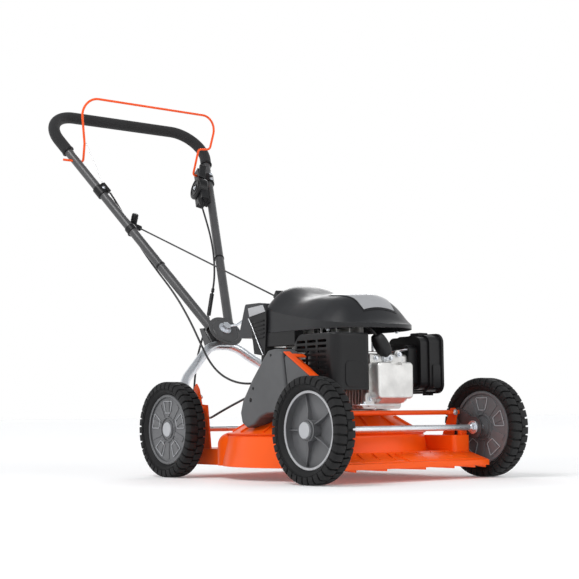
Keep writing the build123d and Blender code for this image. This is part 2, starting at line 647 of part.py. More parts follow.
def make_lock_lever():
    """The pivot bolt with its nut and a thin rod lever turned up at the end."""
    top = HANDLE_TUBE_R + DISC_T + 0.4
    bolt = HANDLE_PLANE * Pos(0, 0, -6) * Cylinder(6, 56)
    washer = HANDLE_PLANE * Pos(0, 0, top + 1) * Cylinder(16, 2)
    nut = HANDLE_PLANE * Pos(0, 0, top + 2) * extrude(RegularPolygon(11, 6), 11)
    head = HANDLE_PLANE * Pos(0, 0, -HANDLE_TUBE_R - 4.8) * extrude(RegularPolygon(10, 6), -7)
    points = [on_handle(4, 0, top + 8), on_handle(34, 4, top + 10), on_handle(58, 18, top + 16),
              on_handle(74, 24, top + 22)]
    lever = swept(points, corner_radii(points), 3.2)
    return bolt + washer + nut + head + lever


def bail_points():
    """Route of the wire bail from its right pivot round the top to its left pivot."""
    pivot = on_handle(0, BAIL_ALONG)
    reach = (Vector(0, 716, 951) - pivot)
    up = reach.normalized()

    def at(x, height):
        return pivot + Vector(x, 0, 0) + up * height

    top = reach.length
    return [at(-241, 0), at(-184, 0), at(-186, 48), at(-212, top), at(212, top), at(200, 76),
            at(164, 72), at(156, 0), at(184, 0)]


def make_bail():
    """The safety bail: one bent wire with a long top bar."""
    return swept(bail_points(), [7, 30, 42, 42, 10, 10, 7], BAIL_R)


def make_control_box():
    """Housing on the left tube with a round drum, a spout for the cable and a clamp."""
    drum = at_tube(1, 512, 33, 0, 2) * Rot(0, 90, 0) * Cylinder(31, 26)
    drum = fillet(drum.edges().filter_by(GeomType.CIRCLE), 5)
    body = at_tube(1, 512, 28, 0, -22) * Box(20, 40, 62)
    spout = at_tube(1, 512, 32, 2, -56) * Cone(5.5, 11, 26)
    neck = at_tube(1, 512, 27, 0, 54) * Box(18, 24, 52)
    clamp = at_tube(1, 512, 0, 0, 54) * Cylinder(15.5, 30)
    web = at_tube(1, 512, 15, 0, 6) * Box(10, 18, 120)
    axis_end = on_handle(190, BAIL_ALONG)
    bail_hole = rod(axis_end, axis_end - Vector(60, 0, 0), BAIL_R + 0.3)
    lever_room = at_tube(1, 512, 34, 30, 36) * Box(13, 40, 30)
    tube_room = tube_frame(1, 512) * Cylinder(HANDLE_TUBE_R + 0.05, 300)
    return drum + body + spout + neck + clamp + web - bail_hole - lever_room - tube_room


def make_drive_lever():
    """Short thumb lever that pivots in the top of the control box."""
    pad = at_tube(1, 512, 34, 30, 44) * Rot(-24, 0, 0) * Box(20, 7, 40)
    pad = fillet(pad.edges(), 3)
    stem = at_tube(1, 512, 34, 20, 36) * Box(7, 18, 9)
    return pad + stem


def make_small_handle_parts():
    """Clips that hold the cables on the tubes, and the rope guide."""
    tube_room = tube_frame(-1, 471) * Cylinder(HANDLE_TUBE_R + 0.1, 500)
    clamp = at_tube(-1, 471, 0) * Cylinder(14.5, 26)
    clamp += at_tube(-1, 471, 11, 11, 0) * Box(10, 10, 30)
    clips = clamp - tube_room
    for side, along in ((-1, 217), (1, 258)):
        ring = Cylinder(12.4, 4.5) - Cylinder(HANDLE_TUBE_R + 0.1, 4.5)
        clips += at_tube(side, along, 0) * ring
    guide = at_tube(-1, 340, 0) * Cylinder(13.8, 14)
    guide += at_tube(-1, 340, 17) * Box(9, 6, 10)
    end, run = rope_run()[1], rope_dir()
    guide += rod(end - run * 4, end + run * 4, 7)
    guide -= rod(end - run * 30, end + run * 30, ROPE_R + 1.2)
    return {"cable_clips": clips, "rope_guide": guide - tube_room}


def rope_run():
    """Both ends of the straight starter rope: at the engine and at the guide."""
    start = Vector(-43, 122, 401)
    return start, at_tube(-1, 340, 27).position


def rope_dir():
    """Unit direction of the rope from the engine to the grip."""
    start, end = rope_run()
    return (end - start).normalized()


def make_starter_grip():
    """A T-shaped pull grip that rests against the rope guide."""
    end = rope_run()[1] + rope_dir() * 5.2
    stem = rod(end, end + rope_dir() * 16, 6.5)
    middle = end + rope_dir() * 20
    across = rope_dir().cross(Vector(1, 0, 0)).normalized()
    bar = rod(middle - across * 30, middle + across * 30, 8.5)
    bar = fillet(bar.edges().filter_by(GeomType.CIRCLE), 4)
    return bar + stem


# ---- cables -------------------------------------------------------------------------------
def beside(side, along, inward, out):
    """A point beside a handle tube."""
    return at_tube(side, along, inward, out).position


def make_cables():
    """Starter rope, engine brake cable and drive cable along their real routes."""
    start, end = rope_run()
    rope = rod(start, end + rope_dir() * 5, ROPE_R)
    brake = [beside(-1, 453, 12, 12), beside(-1, 410, 17, 2), beside(-1, 340, 13, -15.5),
             beside(-1, 280, 4, -18), beside(-1, 217, -1, -18), Vector(-80, 478, 430),
             Vector(-70, 430, 366), Vector(-72, 380, 306), Vector(-88, 322, 262),
             Vector(-100, 262, 230), Vector(-104, 204, 211), Vector(-102, 156, 204),
             Vector(-92, 118, 206), Vector(-84, 92, 218)]
    drive = [beside(1, 438, 32, 2), beside(1, 390, 26, 3), beside(1, 330, 19, 3),
             beside(1, 258, 16.5, 2), Vector(66, 520, 480), Vector(40, 496, 430),
             Vector(20, 482, 380), Vector(0, 478, 326), Vector(-18, 476, 276),
             Vector(-42, 450, 224), Vector(-76, 404, 178), Vector(-114, 352, 146),
             Vector(-144, 304, 135), Vector(-158, 256, 131), Vector(-160, 212, 129),
             Vector(-182, 170, 132), Vector(-190, 126, 143), Vector(-190, 82, 157),
             Vector(-188, 30, 173)]
    return {"starter_rope": rope, "brake_cable": cable("brake_cable", brake, CABLE_R),
            "drive_cable": cable("drive_cable", drive, CABLE_R)}


# ---- all pieces ---------------------------------------------------------------------------
def make_all():
    """Every sub-part by name."""
    nodes = {"deck": make_deck(), "front_comb": make_comb(), "deck_brackets": make_brackets()}
    nodes.update(make_drive_cover())
    nodes.update(make_engine())
    nodes["fuel_cap"] = make_fuel_cap()
    nodes.update(make_crank())
    nodes.update(make_running_gear())
    nodes.update(make_wheels())
    nodes["handle_arch"] = make_arch()
    nodes["arch_bracket"] = make_arch_bracket()
    nodes["handle_frame"] = make_handle_frame()
    nodes["swivel_disc"] = make_swivel_disc()
    nodes["lock_lever"] = make_lock_lever()
    nodes["foam_grip"] = make_foam_grip()
    nodes["bail"] = make_bail()
    nodes["control_box"] = make_control_box()
    nodes["drive_lever"] = make_drive_lever()
    nodes.update(make_small_handle_parts())
    nodes["starter_grip"] = make_starter_grip()
    nodes.update(make_cables())
    return nodes


def main():
    """Write each sub-part to its own file."""
    os.makedirs("parts", exist_ok=True)
    print("origin is at y =", round(CENTRE_Y, 3))
    for name, shape in make_all().items():
        moved = Pos(0, -CENTRE_Y, 0) * shape
        export_step(moved, os.path.join("parts", name + ".step"))


main()
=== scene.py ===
"""Looks of a walk-behind petrol mower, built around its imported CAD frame. Lengths are metres."""
import bmesh
import bpy
import json
import math
from mathutils import Matrix, Vector
from mathutils.bvhtree import BVHTree


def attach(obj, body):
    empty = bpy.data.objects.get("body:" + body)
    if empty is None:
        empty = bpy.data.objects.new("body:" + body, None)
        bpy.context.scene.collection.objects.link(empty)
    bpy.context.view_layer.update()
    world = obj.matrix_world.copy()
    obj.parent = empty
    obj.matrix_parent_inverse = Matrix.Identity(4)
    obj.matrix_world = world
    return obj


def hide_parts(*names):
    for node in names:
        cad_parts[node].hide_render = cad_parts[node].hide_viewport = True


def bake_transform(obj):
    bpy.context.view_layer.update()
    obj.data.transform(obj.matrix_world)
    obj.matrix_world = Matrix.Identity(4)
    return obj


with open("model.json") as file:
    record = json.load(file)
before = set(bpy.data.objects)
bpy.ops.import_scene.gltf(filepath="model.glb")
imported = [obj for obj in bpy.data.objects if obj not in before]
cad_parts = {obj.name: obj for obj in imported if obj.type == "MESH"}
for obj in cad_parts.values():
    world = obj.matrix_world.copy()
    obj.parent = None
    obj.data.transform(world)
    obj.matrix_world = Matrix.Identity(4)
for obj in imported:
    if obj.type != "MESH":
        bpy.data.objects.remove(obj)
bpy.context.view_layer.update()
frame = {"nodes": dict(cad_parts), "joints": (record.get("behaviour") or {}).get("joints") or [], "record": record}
JOINTS = {joint["name"]: joint for joint in frame["joints"]}
WHEELS = ("front_left", "front_right", "rear_left", "rear_right")
MM = 0.001
TURN = 2 * math.pi


def joint_place(name):
    """A hinge's position in the row frame."""
    return Vector(JOINTS[name]["pos_m"])


def joint_axis(name):
    """A joint's axis in the row frame."""
    return Vector(JOINTS[name]["axis"]).normalized()


PIVOT = joint_place("handle_swivel")
HANDLE_NORMAL = joint_axis("handle_swivel")
HANDLE_DIR = Vector((0, HANDLE_NORMAL.z, -HANDLE_NORMAL.y))
SHIFT_Y = -joint_place("crank_spin").y      # from the crankshaft's axis to the row's origin
TUBE_FOOT_X, TUBE_SPREAD = 0.0232, 0.313
CABLE_R, ROPE_R = 0.0025, 0.0019
ROPE_START = (-43, 122, 401)                # where the starter rope leaves the engine
ROPE_END_ALONG, ROPE_END_INWARD = 340, 27   # its end at the guide on the right tube
APRON_FRONT_Y, APRON_FRONT_Z = -292, 38
APRON_SLOPE = (57 - 38) / (292 - 226)


def place(x, y, z):
    """A point given in millimetres from the crankshaft's axis at ground level."""
    return Vector((x * MM, y * MM - SHIFT_Y, z * MM))


def beside_tube(side, along, inward=0.0, out=0.0, further=0.0):
    """A point beside a handle tube, in millimetres: side is 1 for the left tube."""
    foot = PIVOT + HANDLE_DIR * along * MM
    foot += Vector((side * (TUBE_FOOT_X + TUBE_SPREAD * along * MM), 0, 0))
    run = (Vector((side * TUBE_SPREAD, 0, 0)) + HANDLE_DIR).normalized()
    sideways = HANDLE_NORMAL.cross(run)
    return foot + sideways * side * inward * MM + HANDLE_NORMAL * out * MM + run * further * MM


# ---- materials ----------------------------------------------------------------------------
def start_material(name):
    """A new node material and its shader."""
    material = bpy.data.materials.new(name)
    material.use_nodes = True
    return material, material.node_tree, material.node_tree.nodes["Principled BSDF"]


def add_noise(tree, scale, detail=4.0, stretch=None):
    """Noise over the object's own coordinates, stretched if asked."""
    coords = tree.nodes.new("ShaderNodeTexCoord")
    noise = tree.nodes.new("ShaderNodeTexNoise")
    noise.inputs["Scale"].default_value = scale
    noise.inputs["Detail"].default_value = detail
    source = coords.outputs["Object"]
    if stretch:
        mapping = tree.nodes.new("ShaderNodeMapping")
        mapping.inputs["Scale"].default_value = stretch
        tree.links.new(source, mapping.inputs["Vector"])
        source = mapping.outputs["Vector"]
    tree.links.new(source, noise.inputs["Vector"])
    return noise.outputs["Fac"]


def spread(tree, value, low, high):
    """Map a noise value to a range."""
    ranged = tree.nodes.new("ShaderNodeMapRange")
    ranged.inputs["From Min"].default_value = 0.3
    ranged.inputs["From Max"].default_value = 0.7
    ranged.inputs["To Min"].default_value = low
    ranged.inputs["To Max"].default_value = high
    tree.links.new(value, ranged.inputs["Value"])
    return ranged.outputs["Result"]


def tint(tree, value, dark, light):
    """A colour that runs between two shades with a noise value."""
    ramp = tree.nodes.new("ShaderNodeValToRGB")
    ramp.color_ramp.elements[0].position = 0.32
    ramp.color_ramp.elements[0].color = (*dark, 1)
    ramp.color_ramp.elements[1].position = 0.68
    ramp.color_ramp.elements[1].color = (*light, 1)
    tree.links.new(value, ramp.inputs["Fac"])
    return ramp.outputs["Color"]


def add_bump(tree, shader, heights, edge=0.0):
    """Stack (height, strength, distance) bumps on the shader, over rounded edges if asked."""
    normal = None
    if edge:
        bevel = tree.nodes.new("ShaderNodeBevel")
        bevel.samples = 4
        bevel.inputs["Radius"].default_value = edge
        normal = bevel.outputs["Normal"]
    for height, strength, distance in heights:
        bump = tree.nodes.new("ShaderNodeBump")
        bump.inputs["Strength"].default_value = strength
        bump.inputs["Distance"].default_value = distance
        tree.links.new(height, bump.inputs["Height"])
        if normal:
            tree.links.new(normal, bump.inputs["Normal"])
        normal = bump.outputs["Normal"]
    tree.links.new(normal, shader.inputs["Normal"])


def shade(colour, factor):
    """A colour made lighter or darker."""
    return tuple(min(1.0, channel * factor) for channel in colour)


def surface(name, colour, rough, metal=0.0, grain=1800.0, grain_depth=0.00004, swing=0.12,
            patch=9.0, coat=0.0, specular=0.5, edge=0.0006, stretch=None, grain_strength=0.35):
    """A solid material with patchy tone, uneven roughness and a fine grain."""
    material, tree, shader = start_material(name)
    large = add_noise(tree, patch, 5.0)
    fine = add_noise(tree, grain, 2.0, stretch)
    colours = tint(tree, large, shade(colour, 1 - swing), shade(colour, 1 + swing))
    tree.links.new(colours, shader.inputs["Base Color"])
    roughness = spread(tree, add_noise(tree, patch * 6, 4.0), rough * 0.88, rough * 1.12)
    tree.links.new(roughness, shader.inputs["Roughness"])
    shader.inputs["Metallic"].default_value = metal
    shader.inputs["Coat Weight"].default_value = coat
    shader.inputs["Coat Roughness"].default_value = 0.18
    shader.inputs["Specular IOR Level"].default_value = specular
    add_bump(tree, shader, [(fine, grain_strength, grain_depth)], edge)
    return material


def brushed_material(name, colour, rough, stretch):
    """Drawn or plated metal with fine marks along one direction and cloudy plating."""
    material, tree, shader = start_material(name)
    cloud = add_noise(tree, 26.0, 6.0)
    lines = add_noise(tree, 420.0, 3.0, stretch)
    colours = tint(tree, cloud, shade(colour, 0.93), shade(colour, 1.06))
    tree.links.new(colours, shader.inputs["Base Color"])
    tree.links.new(spread(tree, lines, rough * 0.85, rough * 1.2), shader.inputs["Roughness"])
    shader.inputs["Metallic"].default_value = 0.9
    add_bump(tree, shader, [(lines, 0.08, 0.00001)], 0.0005)
    return material


def cast_material(name, colour):
    """Sand-blasted casting: pebbled surface and dull shine."""
    material, tree, shader = start_material(name)
    cloud = add_noise(tree, 30.0, 6.0)
    pebbles = add_noise(tree, 900.0, 3.0)
    colours = tint(tree, cloud, shade(colour, 0.84), shade(colour, 1.12))
    tree.links.new(colours, shader.inputs["Base Color"])
    tree.links.new(spread(tree, pebbles, 0.32, 0.5), shader.inputs["Roughness"])
    shader.inputs["Metallic"].default_value = 0.85
    add_bump(tree, shader, [(pebbles, 0.4, 0.00012), (cloud, 0.2, 0.0003)], 0.0008)
    return material


def rubber_material(name, colour):
    """Matt tyre rubber with a faint bloom and tiny pits."""
    material, tree, shader = start_material(name)
    bloom = add_noise(tree, 18.0, 6.0)
    pits = add_noise(tree, 700.0, 4.0)
    colours = tint(tree, bloom, shade(colour, 0.7), shade(colour, 1.5))
    tree.links.new(colours, shader.inputs["Base Color"])
    tree.links.new(spread(tree, bloom, 0.55, 0.74), shader.inputs["Roughness"])
    shader.inputs["Specular IOR Level"].default_value = 0.3
    add_bump(tree, shader, [(pits, 0.35, 0.00015)], 0.0007)
    return material


def foam_material(name, colour):
    """Open-cell sleeve foam: small craters, no shine, a soft sheen at its edges."""
    material, tree, shader = start_material(name)
    coords = tree.nodes.new("ShaderNodeTexCoord")
    cells = tree.nodes.new("ShaderNodeTexVoronoi")
    cells.inputs["Scale"].default_value = 650.0
    tree.links.new(coords.outputs["Object"], cells.inputs["Vector"])
    large = add_noise(tree, 14.0, 4.0)
    colours = tint(tree, large, shade(colour, 0.75), shade(colour, 1.35))
    tree.links.new(colours, shader.inputs["Base Color"])
    shader.inputs["Roughness"].default_value = 0.86
    shader.inputs["Sheen Weight"].default_value = 0.08
    shader.inputs["Sheen Roughness"].default_value = 0.5
    add_bump(tree, shader, [(cells.outputs["Distance"], 0.6, 0.0003)])
    return material


def braid_material(name, colour):
    """Braided rope or jacket: two crossing waves."""
    material, tree, shader = start_material(name)
    coords = tree.nodes.new("ShaderNodeTexCoord")
    heights = []
    for tilt in (0.9, -0.9):
        mapping = tree.nodes.new("ShaderNodeMapping")
        mapping.inputs["Rotation"].default_value = (tilt, tilt * 0.6, 0)
        wave = tree.nodes.new("ShaderNodeTexWave")
        wave.inputs["Scale"].default_value = 170.0
        tree.links.new(coords.outputs["Object"], mapping.inputs["Vector"])
        tree.links.new(mapping.outputs["Vector"], wave.inputs["Vector"])
        heights.append((wave.outputs["Fac"], 0.6, 0.0004))
    colours = tint(tree, heights[0][0], shade(colour, 0.5), shade(colour, 1.5))
    tree.links.new(colours, shader.inputs["Base Color"])
    shader.inputs["Roughness"].default_value = 0.8
    add_bump(tree, shader, heights)
    return material


ORANGE = (0.95, 0.105, 0.004)
MATERIALS = {
    "orange_plastic": surface("moulded_orange", ORANGE, 0.34, grain=1500, swing=0.05, specular=0.28,
                              edge=0.0012, patch=5.0),
    "orange_steel": surface("orange_powder_coat", (0.84, 0.085, 0.005), 0.34, grain=700,
                            grain_depth=0.00006, swing=0.06, specular=0.3),
    "grey_plastic": surface("grained_grey", (0.088, 0.09, 0.094), 0.46, specular=0.35, grain=2200,
                            grain_depth=0.00007, swing=0.08, edge=0.0009),
    "black_plastic": surface("grained_black", (0.0085, 0.0085, 0.0095), 0.36, specular=0.28,
                             grain=2200, grain_depth=0.00007, swing=0.2, edge=0.0009),
    "cover_plastic": surface("cover_black", (0.0165, 0.017, 0.019), 0.34, specular=0.33, grain=2600,
                             grain_depth=0.00006, swing=0.12, edge=0.001),
    "tank_plastic": surface("tank_grey", (0.042, 0.043, 0.047), 0.44, specular=0.3, grain=1900,
                            grain_depth=0.00008, swing=0.1, edge=0.0012),
    "wheel_plastic": surface("wheel_grey", (0.125, 0.127, 0.133), 0.36, grain=2000,
                             swing=0.08, specular=0.4, edge=0.0008),
    "cap_plastic": surface("cap_grey", (0.42, 0.43, 0.45), 0.35, grain=1800, swing=0.05),
    "black_rubber": surface("satin_rubber", (0.008, 0.008, 0.009), 0.42, specular=0.3, grain=900,
                            grain_depth=0.0001, swing=0.2),
    "dark_steel": surface("dark_coat", (0.055, 0.055, 0.058), 0.4, metal=0.2, grain=800,
                          grain_depth=0.00007, swing=0.12),
    "handle_paint": surface("graphite_coat", (0.072, 0.072, 0.074), 0.36, metal=0.2,
                            specular=0.35, grain=900, grain_depth=0.00006, swing=0.07,
                            coat=0.1),
    "blade_steel": surface("blade_black", (0.03, 0.03, 0.032), 0.35, metal=0.3, grain=500,
                           grain_depth=0.0001, swing=0.3),
    "zinc": brushed_material("zinc_plate", (0.76, 0.79, 0.83), 0.3, (0.15, 1.0, 1.0)),
    "cast_metal": cast_material("cast_aluminium", (0.74, 0.735, 0.72)),
    "tyre": rubber_material("tyre_rubber", (0.0075, 0.0075, 0.008)),
    "foam": foam_material("grip_foam", (0.007, 0.007, 0.008)),
    "rope": braid_material("rope_braid", (0.05, 0.05, 0.052)),
    "cable": surface("cable_jacket", (0.016, 0.016, 0.017), 0.38, grain=600, swing=0.25),
    "light_label": surface("label_silver", (0.42, 0.425, 0.44), 0.32, metal=0.35, grain=1200,
                           swing=0.05, coat=0.25),
    "white_wire": surface("bare_wire", (0.75, 0.76, 0.78), 0.3, metal=0.8, grain=900, swing=0.1),
    "seam": surface("shadow_seam", (0.006, 0.006, 0.0065), 0.6, grain=900, swing=0.2),
}


def paint_frame():
    """Give every CAD node the material of its slot."""
    for part in frame["record"]["subparts"]:
        node = frame["nodes"][part["node"]]
        material = MATERIALS[part["material_slot"]]
        node.data.materials.clear()
        node.data.materials.append(material)


# ---- mesh helpers -------------------------------------------------------------------------
def add_piece(name, mesh, material, body, bevel=0.0, angle=35.0, levels=2):
    """Link a mesh as a piece, bevel and smooth it, and let it ride on a body."""
    piece = bpy.data.objects.new(name, mesh)
    bpy.context.scene.collection.objects.link(piece)
    mesh.materials.append(MATERIALS[material])
    for face in mesh.polygons:
        face.use_smooth = True
    if bevel:
        modifier = piece.modifiers.new("Edges", "BEVEL")
        modifier.width = bevel
        modifier.segments = levels
        modifier.limit_method = "ANGLE"
        modifier.angle_limit = math.radians(28)
        modifier.harden_normals = False
    apply_modifiers(piece)
    sharpen(piece.data, angle)
    if body:
        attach(piece, body)
    return piece


def apply_modifiers(piece):
    """Bake the piece's modifiers into its mesh."""
    if not piece.modifiers:
        return
    graph = bpy.context.evaluated_depsgraph_get()
    done = bpy.data.meshes.new_from_object(piece.evaluated_get(graph))
    piece.modifiers.clear()
    piece.data = done


def sharpen(mesh, angle):
    """Smooth shading, with edges over the angle kept crisp."""
    mesh.shade_smooth()
    mesh.set_sharp_from_angle(angle=math.radians(angle))


def mesh_from(name, verts, faces):
    """A mesh from points and faces, with its normals facing out."""
    mesh = bpy.data.meshes.new(name)
    mesh.from_pydata([tuple(v) for v in verts], [], faces)
    shape = bmesh.new()
    shape.from_mesh(mesh)
    bmesh.ops.remove_doubles(shape, verts=shape.verts, dist=1e-7)
    bmesh.ops.recalc_face_normals(shape, faces=shape.faces)
    shape.to_mesh(mesh)
    shape.free()
    return mesh


def axes_along(direction):
    """Two unit vectors square to a direction."""
    direction = direction.normalized()
    side = direction.cross(Vector((0, 0, 1)))
    if side.length < 1e-3:
        side = direction.cross(Vector((0, 1, 0)))
    side.normalize()
    return side, side.cross(direction).normalized()


def lathe(name, profile, centre, axis, steps=64):
    """Turn a closed (radius, height) outline, in metres, about an axis through a point."""
    side, up = axes_along(axis)
    axis = axis.normalized()
    verts, faces = [], []
    count = len(profile)
    for i in range(steps):
        angle = TURN * i / steps
        out = side * math.cos(angle) + up * math.sin(angle)
        verts += [centre + out * r + axis * h for r, h in profile]
    for i in range(steps):
        for k in range(count):
            a, b = i * count + k, i * count + (k + 1) % count
            c, d = (i + 1) % steps * count + k, (i + 1) % steps * count + (k + 1) % count
            faces.append((a, b, d, c))
    return mesh_from(name, verts, faces)


def prism(name, outline, origin, across, up, depth):
    """A flat outline of (a, b) points, in metres, pushed along the third direction."""
    out = across.cross(up).normalized() * depth
    low = [origin + across * a + up * b for a, b in outline]
    verts = low + [v + out for v in low]
    count = len(outline)
    faces = [tuple(range(count)), tuple(range(2 * count - 1, count - 1, -1))]
    faces += [(i, (i + 1) % count, count + (i + 1) % count, count + i) for i in range(count)]
    return mesh_from(name, verts, faces)


def hexagon_head(name, centre, axis, radius, height, body, material="zinc"):
    """A bolt head on a washer, with a domed top."""
    side, up = axes_along(axis)
    axis = axis.normalized()
    corners = [(radius * math.cos(TURN * i / 6), radius * math.sin(TURN * i / 6)) for i in range(6)]
    washer_share = 0.22
    base = washer_share if side.cross(up).dot(axis) > 0 else 1.0
    head = prism(name, corners, centre + axis * height * base, side, up,
                 height * (1 - washer_share))
    add_piece(name, head, material, body, bevel=radius * 0.1)
    outline = [(0.0005, 0), (radius * 1.45, 0), (radius * 1.45, height * 0.2),
               (0.0005, height * 0.2)]
    washer = lathe(name + "_washer", outline, centre, axis, 32)
    return add_piece(name + "_washer", washer, material, body, bevel=height * 0.05)


def tube_mesh(name, points, radius, sides=14, order=3):
    """A smooth tube whose centre line is a NURBS curve with these control points."""
    curve = bpy.data.curves.new(name, "CURVE")
    curve.dimensions = "3D"
    curve.resolution_u = 10
    curve.bevel_depth = radius
    curve.bevel_resolution = max(1, sides // 4)
    curve.use_fill_caps = True
    spline = curve.splines.new("NURBS")
    spline.points.add(len(points) - 1)
    for point, spot in zip(points, spline.points):
        spot.co = (*point, 1)
    spline.order_u = order
    spline.use_endpoint_u = True
    holder = bpy.data.objects.new(name + "_line", curve)
    bpy.context.scene.collection.objects.link(holder)
    graph = bpy.context.evaluated_depsgraph_get()
    mesh = bpy.data.meshes.new_from_object(holder.evaluated_get(graph))
    bpy.data.objects.remove(holder)
    mesh.materials.clear()
    return mesh


# ---- wheels -------------------------------------------------------------------------------
TYRE_BASE = ((77.2, -10.5), (79, -12.5), (83, -17.5), (88, -20.3), (93, -20.8), (97, -19.6),
             (99.5, -16.5), (100.4, -10), (100.6, 0), (100.4, 10), (99.5, 16.5), (97, 19.6),
             (93, 20.8), (88, 20.3), (83, 17.5), (79, 12.5), (77.2, 10.5))
LUG_SHAPE = ((104.9, 0.7), (104.9, 15.5), (104.2, 18.8), (102.0, 21.4), (97.5, 22.7), (89.5, 22.8),
             (89.0, 19.8), (96.0, 19.2), (99.2, 15.0), (99.6, 0.7))
LUG_COUNT = 36


def build_tyre(name, centre):
    """A tyre with a smooth carcass, a bead ring, and blocks that fold over its shoulders."""
    axis = Vector((1, 0, 0))
    carcass = lathe(name, [(r * MM, x * MM) for r, x in TYRE_BASE], centre, axis, 144)
    shape = bmesh.new()
    shape.from_mesh(carcass)
    pitch = TURN / LUG_COUNT
    for side in (-1, 1):
        for i in range(LUG_COUNT):
            middle = i * pitch + (pitch / 2 if side > 0 else 0.0) + math.pi
            add_lug(shape, centre, side, middle, pitch * 0.78)
    shape.to_mesh(carcass)
    shape.free()
    piece = add_piece(name, carcass, "tyre", None, bevel=0.0007, angle=40)
    for side in (-1, 1):
        rings = [(86.5, 20.2), (87.0, 21.1), (88.0, 21.3), (88.6, 20.6)]
        outline = [(r * MM, side * x * MM) for r, x in rings]
        bead = lathe(f"{name}_sidewall_{side + 1}", outline, centre, axis, 96)
        ring = add_piece(f"{name}_sidewall_{side + 1}", bead, "tyre", None)
        ring.parent = piece
    return piece


def add_lug(shape, centre, side, middle, width):
    """One tread block, slightly skewed, as a closed band between two angles."""
    steps = 4
    rows = []
    for k in range(steps + 1):
        ring = []
        for r, x in LUG_SHAPE:
            skew = 0.02 * (x / 22.0)
            angle = middle + width * (k / steps - 0.5) + skew
            flat = r if r < 100 else r / math.cos(width * (k / steps - 0.5))
            spot = Vector((side * x, math.sin(angle) * flat, math.cos(angle) * flat)) * MM
            ring.append(shape.verts.new(centre + spot))
        rows.append(ring)
    count = len(LUG_SHAPE)
    faces = []
    for k in range(steps):
        for j in range(count):
            corners = (rows[k][j], rows[k][(j + 1) % count], rows[k + 1][(j + 1) % count],
                       rows[k + 1][j])
            faces.append(shape.faces.new(corners))
    faces.append(shape.faces.new(rows[0]))
    faces.append(shape.faces.new(list(reversed(rows[-1]))))
    bmesh.ops.recalc_face_normals(shape, faces=faces)


def build_wheels():
    """Tyres, pale rim rings and hub details on all four wheels."""
    for wheel in WHEELS:
        centre = joint_place(wheel + "_spin")
        body = "wheel_" + wheel
        tyre = build_tyre("tyre_" + wheel + "_tread", centre)
        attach(tyre, body)
        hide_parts("tyre_" + wheel)
        side = 1 if centre.x > 0 else -1
        dish = side if wheel.startswith("front") else -side
        axis = Vector((dish, 0, 0))
        ring = [(71.4, 9.8), (71.9, 11.2), (74.2, 12.0), (76.4, 11.4), (77.1, 9.8)]
        mesh = lathe("rim_ring_" + wheel, [(r * MM, h * MM) for r, h in ring], centre, axis, 96)
        add_piece("rim_ring_" + wheel, mesh, "light_label", body)
        ring = [(70.5, 11.6), (71.5, 12.9), (73.5, 13.5), (75.6, 12.9), (76.6, 11.6)]
        mesh = lathe("back_ring_" + wheel, [(r * MM, -h * MM) for r, h in ring], centre, axis, 96)
        add_piece("back_ring_" + wheel, mesh, "wheel_plastic", body)
        ring = [(19.2, 12.5), (21.6, 12.5), (21.9, 14.2), (20.6, 15.4), (19.2, 15.4)]
        mesh = lathe("hub_collar_" + wheel, [(r * MM, h * MM) for r, h in ring], centre, axis, 48)
        add_piece("hub_collar_" + wheel, mesh, "wheel_plastic", body)
        add_hub_edge_highlights(wheel, centre, -axis, body)


def add_hub_edge_highlights(wheel, centre, out, body):
    """Painted highlights on the hub's closed face: pale grey tubes round the edges of five raised pads. Also a
    step ring round its boss.
    """
    for i in range(5):
        turn = TURN * i / 5
        away = Vector((0, math.sin(turn), math.cos(turn)))
        across = away.cross(out)
        # Each pale grey outline is a painted highlight along the edge of a raised pad.
        corners = [(36, -9), (62, -17), (62, 17), (36, 9)]
        points = [centre + (away * r + across * w) * MM + out * 10.4 * MM for r, w in corners]
        loop = rounded_loop(points, 0.22)
        mesh = tube_mesh(f"hub_frame_{wheel}_{i}", loop + loop[:2], 0.8 * MM, 8)
        add_piece(f"hub_frame_{wheel}_{i}", mesh, "cap_plastic", body)
    ring = [(25, 9.3), (25.6, 11.4), (27.6, 11.4), (28.4, 9.3)]
    mesh = lathe("boss_ring_" + wheel, [(r * MM, h * MM) for r, h in ring], centre, out, 48)
    add_piece("boss_ring_" + wheel, mesh, "wheel_plastic", body)


def rounded_loop(points, share):
    """Points round a closed outline, with each corner cut by a share of its sides."""
    loop = []
    for i, corner in enumerate(points):
        before, after = points[i - 1], points[(i + 1) % len(points)]
        loop += [corner.lerp(before, share), corner, corner.lerp(after, share)]
    return loop


# ---- cables -------------------------------------------------------------------------------
def cable_piece(name, points, radius, material, node=None, bodies=None):
    """A smooth cable along its route, riding on the chassis; when bodies are given it rides on none, with its
    placing baked into its mesh.
    """
    mesh = tube_mesh(name, points, radius)
    piece = add_piece(name, mesh, material, None if bodies else "chassis", angle=60)
    if bodies:
        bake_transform(piece)
    if node:
        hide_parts(node)
    return piece


def build_brake_cable():
    """Engine brake cable, from the clamp on the right tube down to the engine."""
    route = [beside_tube(-1, 453, 12, 12), beside_tube(-1, 410, 17, 2),
             beside_tube(-1, 340, 13, -15.5), beside_tube(-1, 280, 4, -18),
             beside_tube(-1, 217, -1, -18), place(-80, 478, 430), place(-70, 430, 366),
             place(-72, 380, 306), place(-88, 322, 262), place(-100, 262, 230),
             place(-104, 204, 211), place(-102, 156, 204), place(-92, 118, 206),
             place(-84, 92, 218)]
    cable_piece("brake_cable_jacket", route, CABLE_R, "cable", "brake_cable",
                ("chassis", "handle"))


